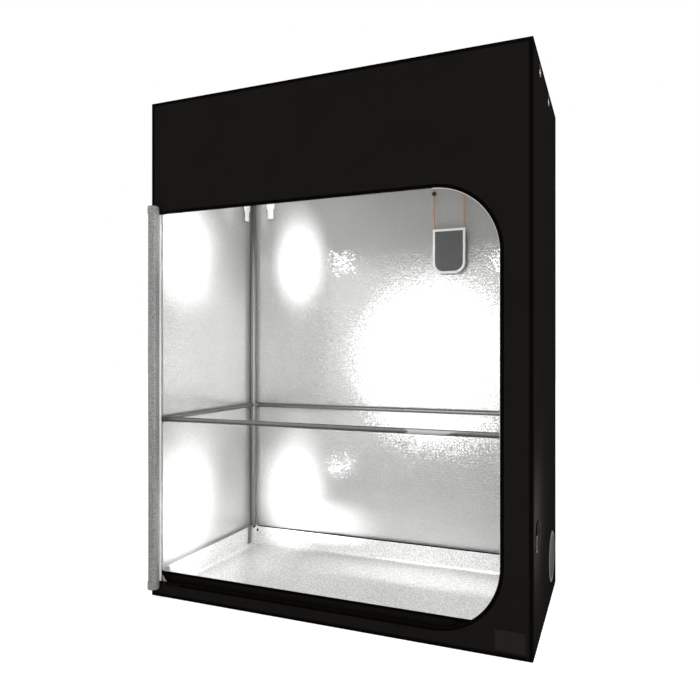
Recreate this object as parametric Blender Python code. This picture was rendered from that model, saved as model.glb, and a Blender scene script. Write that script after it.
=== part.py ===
# Indoor grow tent with its D-shaped door rolled up at the left jamb.
# Metres, +Z up, the door side faces -Y, and the tent stands on z = 0.
import math

import bmesh
import bpy
from mathutils import Matrix, Vector

# Overall size of the tent body, outside the cloth.
tent_width = 1.200
tent_depth = 0.600
tent_height = 1.584
cloth = 0.002  # fabric and lining together
seat = 0.0003  # gap left where one piece rests on another
overrun = 0.004  # how far a cutter runs past what it cuts

# Steel tube frame.
pole_radius = 0.011
bar_radius = 0.008
tube_wall = 0.0007
collar_radius = 0.0135  # corner piece, around the pole
pole_collar_length = 0.020
bar_collar_radius = 0.0095
bar_collar_length = 0.028
spigot_length = 0.030  # part of a corner piece inside its tube
spigot_wall = 0.0010
mid_height = 0.568  # centre line of the middle ring of bars
mid_collar_height = 0.022
front_joint_share = 0.444  # where the two front middle bars meet, from the left
back_joint_share = 0.552
hanger_places = (-0.250, 0.380)  # across the tent, from its middle
hook_wall = 0.0028
hook_width = 0.016
hook_open_angle = math.radians(30)  # how far a hook reaches below the bar's middle

# Door opening in the front, square at the jamb and round at the other side.
jamb_margin = 0.028  # from the tent's left edge to the opening
latch_margin = 0.0834  # from the opening to the tent's right edge
sill_height = 0.050
lintel_drop = 0.3593  # from the roof to the top of the opening
opening_radius = 0.180
track_width = 0.010
track_thickness = 0.0012
track_start = 0.030  # from the jamb to the first teeth
slider_length = 0.014
slider_width = 0.009
slider_thickness = 0.0045
pull_length = 0.026
pull_width = 0.005
slider_park = 0.012  # from the start of the track to the slider

# Rolled-up door.
roll_radius = 0.0165
roll_core_radius = 0.0030
roll_turns = 4
roll_gap = 0.0009  # between one turn and the next
roll_overlap_top = 0.0228  # how far the roll stands past the opening
roll_overlap_bottom = 0.020
roll_offset = 0.0060  # from the jamb to the roll's axis, away from the opening
tie_thickness = 0.0022
tie_width = 0.024

# Floor tray.
tray_height = 0.078
tray_wall = 0.0015
tray_flare = 0.011
tray_fillet = 0.014
tray_corner = 0.0225
tray_clearance = 0.0012

# Ports and vent in the right wall.
vent_radius = 0.0735
vent_from_back = 0.135
vent_height = 0.129
vent_rim = 0.006
vent_rim_proud = 0.0016
mesh_thickness = 0.0010
port_across = 0.081
port_height = 0.307
port_hole_radius = 0.0285
port_mouth_radius = 0.0225
cuff_radius = 0.033
cuff_proud = 0.008
cuff_edge = 0.0020
sleeve_wall = 0.0020
sleeve_length = 0.048
sleeve_end_radius = 0.0262
eyelet_places = (0.145, 0.367)  # from the front of the tent
eyelet_drop = 0.035  # below the roof
eyelet_radius = 0.011
eyelet_bore = 0.005
eyelet_barrel = 0.0066
eyelet_flange = 0.0012
drawcord_radius = 0.0015
drawcord_lead = 0.003
drawcord_bend = 0.0065
drawcord_drop = 0.028
knot_radius = 0.0032

# Straps and buckles that hang from the top bars.
strap_width = 0.025
strap_ply = 0.0016
side_strap_from_pole = 0.0486  # from the back pole's middle, towards the front
side_strap_length = 0.261
rear_strap_from_pole = 0.0792  # from the left pole's middle, towards the right
rear_strap_length = 0.249
buckle_width = 0.032
buckle_height = 0.026
buckle_thickness = 0.0070
buckle_tail = 0.037  # strap left hanging below the buckle

# Pouch on two cords at the back.
pouch_centre = 0.2348  # from the tent's middle
pouch_width = 0.1187
pouch_height = 0.1603
pouch_drop = 0.3427  # from the top bar's middle to the pouch
pouch_radius = 0.040
pouch_border = 0.008
pouch_ply = 0.0010
pouch_thickness = 0.008
pouch_cord_radius = 0.002
pouch_cord_inset = 0.0022
cord_tail = 0.016  # short end that comes down behind the bar
cord_lock_rise = 0.1225  # from the pouch to the lock
cord_lock_radius = 0.0085
cord_lock_length = 0.014

# Bare patch at the lower right of the front.
patch_width = 0.078
patch_height = 0.054
patch_thickness = 0.0008
patch_right_margin = 0.019
patch_bottom_margin = 0.0165

# Facets.
pole_sides = 16
bar_sides = 12
ring_sides = 24
vent_sides = 36
corner_steps = 10
roll_steps = 20  # for each turn of the rolled door

# The origin is under the middle of the whole outline, roll and cuff included.
tie_radius = roll_radius + seat + tie_thickness
front_proud = seat + 2 * tie_radius
tent_x = -cuff_proud / 2
tent_y = front_proud / 2
left = tent_x - tent_width / 2
right = tent_x + tent_width / 2
front = tent_y - tent_depth / 2
back = tent_y + tent_depth / 2

post_inset = cloth + seat + collar_radius
post_left = left + post_inset
post_right = right - post_inset
post_front = front + post_inset
post_back = back - post_inset
low_z = cloth + seat + collar_radius
high_z = tent_height - cloth - seat - collar_radius
wall_bottom = cloth + seat
wall_top = tent_height - cloth - seat

jamb = left + jamb_margin
latch = right - latch_margin
sill = sill_height
lintel = tent_height - lintel_drop
pouch_top = high_z - pouch_drop
port_y = front + port_across
vent_y = back - vent_from_back


def material(name, colour, roughness, metallic=0.0):
    made = bpy.data.materials.new(name)
    made.use_nodes = True
    shader = made.node_tree.nodes["Principled BSDF"]
    shader.inputs["Base Color"].default_value = (*colour, 1.0)
    shader.inputs["Roughness"].default_value = roughness
    shader.inputs["Metallic"].default_value = metallic
    return made


def add_object(name, bm, finish, smooth_angle=None):
    bmesh.ops.recalc_face_normals(bm, faces=bm.faces)
    mesh = bpy.data.meshes.new(name)
    bm.to_mesh(mesh)
    bm.free()
    if smooth_angle is not None:
        mesh.shade_smooth()
        mesh.set_sharp_from_angle(angle=math.radians(smooth_angle))
    mesh.materials.append(finish)
    made = bpy.data.objects.new(name, mesh)
    bpy.context.scene.collection.objects.link(made)
    return made


def helper(made):
    made.hide_render = True
    made.display_type = "WIRE"
    return made


def combine(target, other, operation):
    modifier = target.modifiers.new(operation.lower(), "BOOLEAN")
    modifier.operation = operation
    modifier.solver = "EXACT"
    modifier.object = helper(other)


def block(name, low, high, finish):
    bm = bmesh.new()
    bmesh.ops.create_cube(bm, size=1)
    size = Vector(high) - Vector(low)
    middle = (Vector(high) + Vector(low)) / 2
    bmesh.ops.transform(bm, matrix=Matrix.Translation(middle) @ Matrix.Diagonal(size).to_4x4(), verts=bm.verts)
    return add_object(name, bm, finish)


def turned(name, profile, start, direction, sides, finish):
    """A closed profile of (radius, distance along) turned about a line through start."""
    turn = Vector(direction).to_track_quat("Z", "Y").to_matrix().to_4x4()
    place = Matrix.Translation(Vector(start)) @ turn
    bm = bmesh.new()
    rings = []
    for radius, along in profile:
        if radius == 0:
            rings.append([bm.verts.new(place @ Vector((0, 0, along)))])
            continue
        angles = [2 * math.pi * step / sides for step in range(sides)]
        rings.append([bm.verts.new(place @ Vector((radius * math.cos(a), radius * math.sin(a), along)))
                      for a in angles])
    for one, two in zip(rings, rings[1:] + rings[:1]):
        if len(one) == 1 and len(two) == 1:
            continue
        for step in range(sides):
            after = (step + 1) % sides
            corners = [one[step % len(one)], one[after % len(one)], two[after % len(two)], two[step % len(two)]]
            bm.faces.new(list(dict.fromkeys(corners)))
    return add_object(name, bm, finish, smooth_angle=40)


def prism(name, outline, holes, low, high, axes, finish, smooth_angle=None):
    """A flat outline with holes, drawn on two axes and carried along the third from low to high."""
    across, up, along = axes
    bm = bmesh.new()
    edges = []
    for loop in [outline, *holes]:
        corners = []
        for u, v in loop:
            point = [0.0, 0.0, 0.0]
            point[across], point[up], point[along] = u, v, low
            corners.append(bm.verts.new(point))
        edges += [bm.edges.new(pair) for pair in zip(corners, corners[1:] + corners[:1])]
    made = bmesh.ops.triangle_fill(bm, use_beauty=True, use_dissolve=False, edges=edges)
    faces = [item for item in made["geom"] if isinstance(item, bmesh.types.BMFace)]
    carried = bmesh.ops.extrude_face_region(bm, geom=faces, use_keep_orig=True)
    shift = [0.0, 0.0, 0.0]
    shift[along] = high - low
    moved = [item for item in carried["geom"] if isinstance(item, bmesh.types.BMVert)]
    bmesh.ops.translate(bm, verts=moved, vec=shift)
    return add_object(name, bm, finish, smooth_angle)


def arc(centre, radius, start, end, steps):
    return [(centre[0] + radius * math.cos(start + (end - start) * step / steps),
             centre[1] + radius * math.sin(start + (end - start) * step / steps)) for step in range(steps + 1)]


def circle(centre, radius, sides):
    return arc(centre, radius, 0, 2 * math.pi, sides)[:-1]


def tube_profile(radius, length):
    return [(radius, 0), (radius, length), (radius - tube_wall, length), (radius - tube_wall, 0)]


def cord(name, points, radius, finish):
    curve = bpy.data.curves.new(name, "CURVE")
    curve.dimensions = "3D"
    curve.bevel_depth = radius
    curve.bevel_resolution = 2
    curve.use_fill_caps = True
    spline = curve.splines.new("POLY")
    spline.points.add(len(points) - 1)
    for place, point in zip(spline.points, points):
        place.co = Vector(point).to_4d()
    curve.materials.append(finish)
    made = bpy.data.objects.new(name, curve)
    bpy.context.scene.collection.objects.link(made)
    return made


def side_word(x):
    return "left" if x == post_left else "right"


def end_word(y):
    return "front" if y == post_front else "back"


def corner_pieces(steel):
    """Three-way corner pieces at the floor and the roof: a hub with a spigot in each tube."""
    inside = tube_wall + seat
    pole_arm = [(0, -collar_radius), (collar_radius, -collar_radius), (collar_radius, pole_collar_length),
                *spigot(pole_radius - inside, pole_collar_length)]
    bar_arm = bar_arm_profile(inside)
    for level, z, rise in (("lower", low_z, 1), ("upper", high_z, -1)):
        for x in (post_left, post_right):
            for y in (post_front, post_back):
                name = f"corner_{level}_{end_word(y)}_{side_word(x)}"
                hub = turned(name, pole_arm, (x, y, z), (0, 0, rise), pole_sides, steel)
                add_bar_arms(hub, name, x, y, z, bar_arm, steel)


def bar_arm_profile(inside):
    return [(0, 0), (bar_collar_radius, 0), (bar_collar_radius, bar_collar_length),
            *spigot(bar_radius - inside, bar_collar_length)]


def spigot(radius, start):
    """The hollow end of an arm that slides into its tube."""
    bore = radius - spigot_wall
    return [(radius, start), (radius, start + spigot_length), (bore, start + spigot_length),
            (bore, start), (0, start)]


def add_bar_arms(hub, name, x, y, z, profile, steel):
    towards_x = 1 if x == post_left else -1
    towards_y = 1 if y == post_front else -1
    combine(hub, turned(name + "_arm_x", profile, (x, y, z), (towards_x, 0, 0), bar_sides, steel), "UNION")
    combine(hub, turned(name + "_arm_y", profile, (x, y, z), (0, towards_y, 0), bar_sides, steel), "UNION")


def middle_pieces(steel):
    """Collars around the poles that carry the middle ring of bars."""
    collar = [(0, -mid_collar_height / 2), (collar_radius, -mid_collar_height / 2),
              (collar_radius, mid_collar_height / 2), (0, mid_collar_height / 2)]
    bore_radius = pole_radius + seat
    bore = [(0, -mid_collar_height / 2 - overrun), (bore_radius, -mid_collar_height / 2 - overrun),
            (bore_radius, mid_collar_height / 2 + overrun), (0, mid_collar_height / 2 + overrun)]
    bar_arm = bar_arm_profile(tube_wall + seat)
    for x in (post_left, post_right):
        for y in (post_front, post_back):
            name = f"middle_collar_{end_word(y)}_{side_word(x)}"
            hub = turned(name, collar, (x, y, mid_height), (0, 0, 1), pole_sides, steel)
            add_bar_arms(hub, name, x, y, mid_height, bar_arm, steel)
            cutter = turned(name + "_bore", bore, (x, y, mid_height), (0, 0, 1), pole_sides, steel)
            combine(hub, cutter, "DIFFERENCE")


def poles(steel):
    start = low_z + pole_collar_length + seat
    length = high_z - pole_collar_length - seat - start
    for x in (post_left, post_right):
        for y in (post_front, post_back):
            turned(f"pole_{end_word(y)}_{side_word(x)}", tube_profile(pole_radius, length),
                   (x, y, start), (0, 0, 1), pole_sides, steel)


def bars(steel):
    """Rings of bars at the floor, at mid height and under the roof."""
    reach = bar_collar_length + seat
    long_start = post_left + reach
    long_length = post_right - reach - long_start
    short_start = post_front + reach
    short_length = post_back - reach - short_start
    for level, z in (("bottom", low_z), ("top", high_z)):
        for y in (post_front, post_back):
            turned(f"{level}_bar_{end_word(y)}", tube_profile(bar_radius, long_length),
                   (long_start, y, z), (1, 0, 0), bar_sides, steel)
    for level, z in (("bottom", low_z), ("middle", mid_height), ("top", high_z)):
        for x in (post_left, post_right):
            turned(f"{level}_bar_{side_word(x)}", tube_profile(bar_radius, short_length),
                   (x, short_start, z), (0, 1, 0), bar_sides, steel)
    for y, share in ((post_front, front_joint_share), (post_back, back_joint_share)):
        name = f"middle_bar_{end_word(y)}"
        first_length = long_length * share
        turned(name + "_left", swaged_profile(first_length), (long_start, y, mid_height), (1, 0, 0),
               bar_sides, steel)
        turned(name + "_right", tube_profile(bar_radius, long_length - first_length - seat),
               (long_start + first_length + seat, y, mid_height), (1, 0, 0), bar_sides, steel)


def swaged_profile(length):
    """A bar whose far end is drawn down to slide into the next bar."""
    inner = bar_radius - tube_wall
    neck = inner - seat
    return [(bar_radius, 0), (bar_radius, length), (neck, length), (neck, length + spigot_length),
            (neck - tube_wall, length + spigot_length), (neck - tube_wall, length - tube_wall),
            (inner, length - tube_wall), (inner, 0)]


def hanging_bars(steel):
    """Short bars hooked over the front and back top bars, which lamps hang from."""
    inner = bar_radius + seat
    outer = inner + hook_wall
    low_angle = -hook_open_angle
    high_angle = math.pi + hook_open_angle
    rod_start = post_front + inner + hook_wall / 2
    rod_length = post_back - inner - hook_wall / 2 - rod_start
    rod = tube_profile(bar_radius, rod_length)
    for word, place in zip(("left", "right"), hanger_places):
        x = tent_x + place
        name = f"hanging_bar_{word}"
        bar = turned(name, rod, (x, rod_start, high_z), (0, 1, 0), bar_sides, steel)
        for y in (post_front, post_back):
            hook = (arc((y, high_z), outer, low_angle, high_angle, ring_sides)
                    + arc((y, high_z), inner, high_angle, low_angle, ring_sides))
            piece = prism(f"{name}_hook_{end_word(y)}", hook, [], x - hook_width / 2, x + hook_width / 2,
                          (1, 2, 0), steel)
            combine(bar, piece, "UNION")


def door_edge(margin, start):
    """The opening's top, latch side and sill, margin outside its edge, from start to start."""
    radius = opening_radius + margin
    centre_x = latch - opening_radius
    top_centre = (centre_x, lintel - opening_radius)
    bottom_centre = (centre_x, sill + opening_radius)
    return ([(start, lintel + margin)] + arc(top_centre, radius, math.pi / 2, 0, corner_steps)
            + arc(bottom_centre, radius, 0, -math.pi / 2, corner_steps) + [(start, sill - margin)])


def shell(black):
    """Cloth walls, roof and floor, each a separate panel."""
    block("floor_panel", (left, front, 0), (right, back, cloth), black)
    block("roof_panel", (left, front, tent_height - cloth), (right, back, tent_height), black)
    block("left_panel", (left, front, wall_bottom), (left + cloth, back, wall_top), black)
    inner_left = left + cloth + seat
    inner_right = right - cloth - seat
    block("back_panel", (inner_left, back - cloth, wall_bottom), (inner_right, back, wall_top), black)
    front_outline = [(inner_left, wall_bottom), (inner_right, wall_bottom),
                     (inner_right, wall_top), (inner_left, wall_top)]
    prism("front_panel", front_outline, [door_edge(0, jamb)], front, front + cloth, (0, 2, 1), black)
    right_outline = [(front, wall_bottom), (back, wall_bottom), (back, wall_top), (front, wall_top)]
    holes = [circle((vent_y, vent_height), vent_radius, vent_sides),
             circle((port_y, port_height), port_hole_radius, ring_sides)]
    eyelet_hole = eyelet_barrel + seat
    holes += [circle((front + place, tent_height - eyelet_drop), eyelet_hole, bar_sides)
              for place in eyelet_places]
    prism("right_panel", right_outline, holes, right - cloth, right, (1, 2, 0), black)


def zip_and_sliders(black, metal):
    """The half of the zip that stays on the front, and the two sliders parked at its ends."""
    start = jamb + track_start
    outline = door_edge(track_width, start) + door_edge(0, start)[::-1]
    outer_face = front - seat - track_thickness
    prism("zip_track", outline, [], outer_face, front - seat, (0, 2, 1), black)
    slider_back = outer_face - seat
    pull_half = pull_width / 2
    for word, edge, side in (("upper", lintel, 1), ("lower", sill, -1)):
        middle = edge + side * slider_width / 2
        half = slider_width / 2
        nose = start + slider_park
        tail = nose + slider_length
        outline = [(nose, middle - half), (tail, middle - half), (tail, middle - pull_half),
                   (tail + pull_length, middle - pull_half), (tail + pull_length, middle + pull_half),
                   (tail, middle + pull_half), (tail, middle + half), (nose, middle + half)]
        prism(f"zip_slider_{word}", outline, [], slider_back - slider_thickness, slider_back,
              (0, 2, 1), metal)


def rolled_door(lining, webbing):
    """The door cloth rolled silver side out, its outer end sewn at the jamb, held by two ties."""
    centre_x = jamb - roll_offset
    centre_y = front - seat - tie_radius
    pitch = (roll_radius - roll_core_radius) / roll_turns
    ply = pitch - roll_gap
    first = math.acos(roll_offset / roll_radius)
    outer, inner = [], []
    for step in range(roll_turns * roll_steps + 1):
        angle = first - 2 * math.pi * step / roll_steps
        radius = roll_radius - pitch * step / roll_steps
        for edge, distance in ((outer, radius), (inner, radius - ply)):
            edge.append((centre_x + distance * math.cos(angle), centre_y + distance * math.sin(angle)))
    bottom = sill - roll_overlap_bottom
    top = lintel + roll_overlap_top
    prism("door_roll", outer + inner[::-1], [], bottom, top, (0, 1, 2), lining, smooth_angle=40)
    ring = [(roll_radius + seat, 0), (tie_radius, 0), (tie_radius, tie_width), (roll_radius + seat, tie_width)]
    turned("door_tie_upper", ring, (centre_x, centre_y, top - tie_width), (0, 0, 1), ring_sides, webbing)
    turned("door_tie_lower", ring, (centre_x, centre_y, bottom), (0, 0, 1), ring_sides, webbing)


def cut_corners(half_x, half_y, cut, z):
    """Eight corners of a rectangle about the tent's middle, with its corners cut off."""
    points = []
    for sign_x, sign_y, first_x in ((1, 1, True), (-1, 1, False), (-1, -1, True), (1, -1, False)):
        along_x = (tent_x + sign_x * half_x, tent_y + sign_y * (half_y - cut), z)
        along_y = (tent_x + sign_x * (half_x - cut), tent_y + sign_y * half_y, z)
        points += [along_x, along_y] if first_x else [along_y, along_x]
    return points


def floor_tray(lining):
    """A loose tub with flared walls and folded corners that clear the poles."""
    foot_x = post_right - tent_x - bar_collar_radius - tray_clearance
    foot_y = post_back - tent_y - bar_collar_radius - tray_clearance
    floor_z = cloth + seat
    outside = [(-tray_fillet, floor_z), (0, floor_z + tray_fillet), (tray_flare, tray_height)]
    inside = [(spread - tray_wall, max(z, floor_z + tray_wall)) for spread, z in reversed(outside)]
    bm = bmesh.new()
    rings = []
    for spread, z in outside + inside:
        rings.append([bm.verts.new(point)
                      for point in cut_corners(foot_x + spread, foot_y + spread, tray_corner, z)])
    for one, two in zip(rings, rings[1:]):
        for step in range(len(one)):
            after = (step + 1) % len(one)
            bm.faces.new([one[step], one[after], two[after], two[step]])
    bm.faces.new(rings[0])
    bm.faces.new(rings[-1])
    add_object("floor_tray", bm, lining)


def right_wall_fittings(black, mesh, metal, cord_finish):
    """Mesh vent, gathered duct port with its drawcord, and two eyelets."""
    rim = vent_radius + vent_rim
    disc = vent_radius - seat
    inset = -cloth
    profile = [(0, inset), (disc, inset), (disc, seat), (rim, seat), (rim, vent_rim_proud),
               (vent_radius - vent_rim, vent_rim_proud), (vent_radius - vent_rim, inset + mesh_thickness),
               (0, inset + mesh_thickness)]
    turned("vent_mesh", profile, (right, vent_y, vent_height), (1, 0, 0), vent_sides, mesh)

    barrel = port_hole_radius - seat
    crest = (port_mouth_radius + cuff_radius) / 2
    profile = [(port_mouth_radius, cuff_proud - cuff_edge), (port_mouth_radius + cuff_edge, cuff_proud),
               (crest, cuff_proud), (cuff_radius, cuff_edge), (cuff_radius, seat), (barrel, seat),
               (barrel, -cloth - seat), (sleeve_end_radius, -sleeve_length),
               (sleeve_end_radius - sleeve_wall, -sleeve_length),
               (port_mouth_radius, -cloth)]
    turned("duct_sleeve", profile, (right, port_y, port_height), (1, 0, 0), ring_sides, black)

    for word, place in zip(("front", "back"), eyelet_places):
        profile = [(eyelet_bore, seat + eyelet_flange), (eyelet_radius, seat + eyelet_flange),
                   (eyelet_radius, seat), (eyelet_barrel, seat), (eyelet_barrel, -cloth - seat),
                   (eyelet_bore, -cloth - seat)]
        turned(f"eyelet_{word}", profile, (right, front + place, tent_height - eyelet_drop), (1, 0, 0),
               bar_sides, metal)

    cord_x = right + seat + knot_radius
    cord_y = port_y - cuff_radius - seat
    points = [Vector((cord_x, cord_y, port_height))]
    bend_y = cord_y - drawcord_lead
    bend_z = port_height - drawcord_bend
    for across, up in arc((bend_y, bend_z), drawcord_bend, math.pi / 2, math.pi, corner_steps):
        points.append(Vector((cord_x, across, up)))
    end_z = bend_z - drawcord_drop
    hang_y = bend_y - drawcord_bend
    points += [Vector((cord_x, hang_y, bend_z + (end_z - bend_z) * step / corner_steps))
               for step in range(1, corner_steps + 1)]
    cord("sleeve_drawcord", points, drawcord_radius, cord_finish)
    bead = [(0, 0)] + [(knot_radius * math.sin(math.pi * step / corner_steps),
                        knot_radius * (1 - math.cos(math.pi * step / corner_steps)))
                       for step in range(1, corner_steps)] + [(0, 2 * knot_radius)]
    turned("drawcord_knot", bead, (cord_x, hang_y, end_z - seat), (0, 0, -1), bar_sides, cord_finish)


def strap_outline(centre, length):
    """A strap seen edge on: a loop round the bar and two plies hanging from it."""
    outer = bar_radius + seat + strap_ply
    spread = math.asin(strap_ply / outer)
    loop = arc(centre, outer, -math.pi / 2 + spread, 3 * math.pi / 2 - spread, ring_sides)
    return [(centre[0] + strap_ply, centre[1] - length)] + loop + [(centre[0] - strap_ply, centre[1] - length)]


def lamp_straps(webbing, plastic):
    """Webbing straps looped over the top bars, each with a sliding buckle."""
    hole_radius = bar_radius + seat
    slot_half = strap_ply + seat
    slot_reach = strap_width / 2 + seat
    for word, across_axis, centre, middle, length in (
            ("side", 0, post_left, post_back - side_strap_from_pole, side_strap_length),
            ("rear", 1, post_back, post_left + rear_strap_from_pole, rear_strap_length)):
        along_axis = 1 - across_axis
        prism(f"lamp_strap_{word}", strap_outline((centre, high_z), length),
              [circle((centre, high_z), hole_radius, bar_sides)],
              middle - strap_width / 2, middle + strap_width / 2, (across_axis, 2, along_axis), webbing)
        outer = rectangle(centre, middle, buckle_thickness / 2, buckle_width / 2)
        slot = rectangle(centre, middle, slot_half, slot_reach)
        bottom = high_z - length + buckle_tail
        prism(f"strap_buckle_{word}", outer, [slot], bottom, bottom + buckle_height,
              (across_axis, along_axis, 2), plastic)


def rectangle(u, v, half_u, half_v):
    return [(u - half_u, v - half_v), (u + half_u, v - half_v), (u + half_u, v + half_v), (u - half_u, v + half_v)]


def pouch_outline(inset, top):
    """The pouch's outline, straight at the top and round at the bottom corners."""
    middle = tent_x + pouch_centre
    half = pouch_width / 2 - inset
    radius = pouch_radius - inset
    bottom = pouch_top - pouch_height + inset
    return ([(middle + half, top), (middle - half, top)]
            + arc((middle - half + radius, bottom + radius), radius, math.pi, 3 * math.pi / 2, corner_steps)
            + arc((middle + half - radius, bottom + radius), radius, -math.pi / 2, 0, corner_steps))


def pouch_and_cords(grey, cord_finish, plastic):
    """A flat pouch on two cords looped over the rear top bar, one cord with a lock."""
    loop_radius = bar_radius + seat + pouch_cord_radius
    hang_y = post_back - loop_radius
    pouch = prism("pouch", pouch_outline(0, pouch_top), [], hang_y - pouch_thickness / 2,
                  hang_y + pouch_thickness / 2, (0, 2, 1), grey)
    cavity = prism("pouch_cavity", pouch_outline(pouch_border, pouch_top + overrun), [],
                   hang_y - pouch_thickness / 2 + pouch_ply, hang_y + pouch_thickness / 2 - pouch_ply,
                   (0, 2, 1), grey)
    combine(pouch, cavity, "DIFFERENCE")
    reach = pouch_width / 2 - pouch_cord_inset - pouch_cord_radius
    for word, side in (("left", -1), ("right", 1)):
        x = tent_x + pouch_centre + side * reach
        points = [Vector((x, post_back + loop_radius, high_z - cord_tail))]
        points += [Vector((x, y, z)) for y, z in arc((post_back, high_z), loop_radius, 0, math.pi, ring_sides // 2)]
        foot = pouch_top + seat
        points += [Vector((x, hang_y, high_z + (foot - high_z) * step / ring_sides))
                   for step in range(1, ring_sides + 1)]
        cord(f"pouch_cord_{word}", points, pouch_cord_radius, cord_finish)
    x = tent_x + pouch_centre - reach
    bore = pouch_cord_radius + seat
    shoulder = (bore + cord_lock_radius) / 2
    rise = cord_lock_length / 4
    profile = [(bore, 0), (shoulder, 0), (cord_lock_radius, rise), (cord_lock_radius, cord_lock_length - rise),
               (shoulder, cord_lock_length), (bore, cord_lock_length)]
    turned("pouch_cord_lock", profile, (x, hang_y, pouch_top + cord_lock_rise), (0, 0, 1), bar_sides, plastic)


def bare_patch(patch_finish):
    high_x = right - patch_right_margin
    low = (high_x - patch_width, front - seat - patch_thickness, patch_bottom_margin)
    high = (high_x, front - seat, patch_bottom_margin + patch_height)
    block("front_patch", low, high, patch_finish)


def main():
    for old in list(bpy.data.objects):
        bpy.data.objects.remove(old, do_unlink=True)
    black = material("black_fabric", (0.008, 0.008, 0.007), 0.80)
    silver = material("silver_lining", (0.62, 0.62, 0.60), 0.35, 0.4)
    steel = material("zinc_tube", (0.50, 0.51, 0.49), 0.38, 1.0)
    white = material("white_webbing", (0.85, 0.85, 0.84), 0.75)
    grey = material("grey_pouch_cloth", (0.12, 0.125, 0.12), 0.80)
    plastic = material("black_plastic", (0.012, 0.012, 0.012), 0.45)
    white_plastic = material("white_plastic", (0.80, 0.80, 0.79), 0.40)
    mesh = material("vent_netting", (0.16, 0.165, 0.15), 0.70)
    metal = material("bright_eyelet", (0.72, 0.71, 0.68), 0.25, 1.0)
    rope = material("tan_cord", (0.50, 0.20, 0.05), 0.75)
    pale_cord = material("olive_cord", (0.20, 0.18, 0.10), 0.80)
    patch = material("brown_patch", (0.021, 0.017, 0.014), 0.60)

    corner_pieces(steel)
    middle_pieces(steel)
    poles(steel)
    bars(steel)
    hanging_bars(steel)
    shell(black)
    zip_and_sliders(black, plastic)
    rolled_door(silver, silver)
    floor_tray(silver)
    right_wall_fittings(black, mesh, metal, pale_cord)
    lamp_straps(white, white_plastic)
    pouch_and_cords(grey, rope, plastic)
    bare_patch(patch)


main()
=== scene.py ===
# Indoor grow tent with its door rolled up: the looks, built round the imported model.
# Metres; +Z up, the door side faces -Y, the vent and the duct port are in the +X wall.
import math

import bpy
from mathutils import Matrix, Vector, noise


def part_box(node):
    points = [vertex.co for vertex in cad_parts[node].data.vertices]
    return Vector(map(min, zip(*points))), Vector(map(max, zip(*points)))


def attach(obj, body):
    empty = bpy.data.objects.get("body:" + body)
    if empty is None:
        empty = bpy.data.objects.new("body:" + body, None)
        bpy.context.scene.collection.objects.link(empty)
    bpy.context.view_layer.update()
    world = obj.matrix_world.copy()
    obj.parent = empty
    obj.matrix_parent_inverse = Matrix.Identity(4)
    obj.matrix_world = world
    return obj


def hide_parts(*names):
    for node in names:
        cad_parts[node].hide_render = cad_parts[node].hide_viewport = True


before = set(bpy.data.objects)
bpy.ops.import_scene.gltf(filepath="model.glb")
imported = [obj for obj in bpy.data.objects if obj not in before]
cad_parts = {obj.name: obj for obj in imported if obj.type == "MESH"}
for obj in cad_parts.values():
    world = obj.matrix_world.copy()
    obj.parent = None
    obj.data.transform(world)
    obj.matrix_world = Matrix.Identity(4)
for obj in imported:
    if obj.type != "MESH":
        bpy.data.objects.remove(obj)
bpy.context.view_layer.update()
print("stage: frame loaded,", len(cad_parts), "nodes")

axisX, axisY, axisZ = Vector((1, 0, 0)), Vector((0, 1, 0)), Vector((0, 0, 1))
shellLow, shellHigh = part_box("floor_panel")[0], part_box("roof_panel")[1]
leftX, frontY, _ = shellLow
rightX, backY, roofZ = shellHigh
middleX, middleY, middleZ = (shellLow + shellHigh) / 2

# places and sizes that several pieces share: y and z of the spots in the right wall, x and y of the roll's
# axis, the height of the top bars' middle, half the tray's base, and the vent's radius
wallSpots = {"vent": (0.18415, 0.129), "port": (-0.19985, 0.307), "eyeletFront": (-0.13585, 1.549),
             "eyeletBack": (0.08615, 1.549)}
rollAxis = (-0.5820, -0.30015)
topBarZ = 1.5682
trayFoot = (0.5725, 0.2725)
ventRadius = 0.0735


# Modelling helpers

def only(piece):
    bpy.ops.object.select_all(action="DESELECT")
    piece.select_set(True)
    bpy.context.view_layer.objects.active = piece


def pick(piece, kind, test):
    # selects vertices, edges or faces by their middle, and leaves the piece in edit mode
    only(piece)
    bpy.ops.object.mode_set(mode="EDIT")
    bpy.ops.mesh.select_mode(type=kind)
    bpy.ops.mesh.select_all(action="DESELECT")
    bpy.ops.object.mode_set(mode="OBJECT")
    mesh = piece.data
    if kind == "FACE":
        for face in mesh.polygons:
            face.select = test(face.center, face.normal)
    elif kind == "EDGE":
        for edge in mesh.edges:
            one, two = (mesh.vertices[index].co for index in edge.vertices)
            edge.select = test((one + two) / 2, (two - one).normalized())
    else:
        for vertex in mesh.vertices:
            vertex.select = test(vertex.co, vertex.normal)
    bpy.ops.object.mode_set(mode="EDIT")


def editAll(piece):
    pick(piece, "VERT", lambda place, normal: True)


def leaveEdit():
    bpy.ops.object.mode_set(mode="OBJECT")


def weld(piece, distance=1e-6):
    editAll(piece)
    bpy.ops.mesh.remove_doubles(threshold=distance)
    bpy.ops.mesh.select_all(action="SELECT")
    bpy.ops.mesh.normals_make_consistent(inside=False)
    leaveEdit()


def modify(piece, kind, **settings):
    made = piece.modifiers.new(kind.title(), kind)
    for key, value in settings.items():
        setattr(made, key, value)
    return made


def applyAll(piece):
    only(piece)
    for made in list(piece.modifiers):
        bpy.ops.object.modifier_apply(modifier=made.name)


def settle(piece, place=None):
    # puts a piece drawn flat in its place, and brings its object back to the origin
    if place is not None:
        piece.matrix_world = place
    only(piece)
    bpy.ops.object.transform_apply(location=True, rotation=True, scale=True)


def link(name, data):
    made = bpy.data.objects.new(name, data)
    bpy.context.scene.collection.objects.link(made)
    return made


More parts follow.
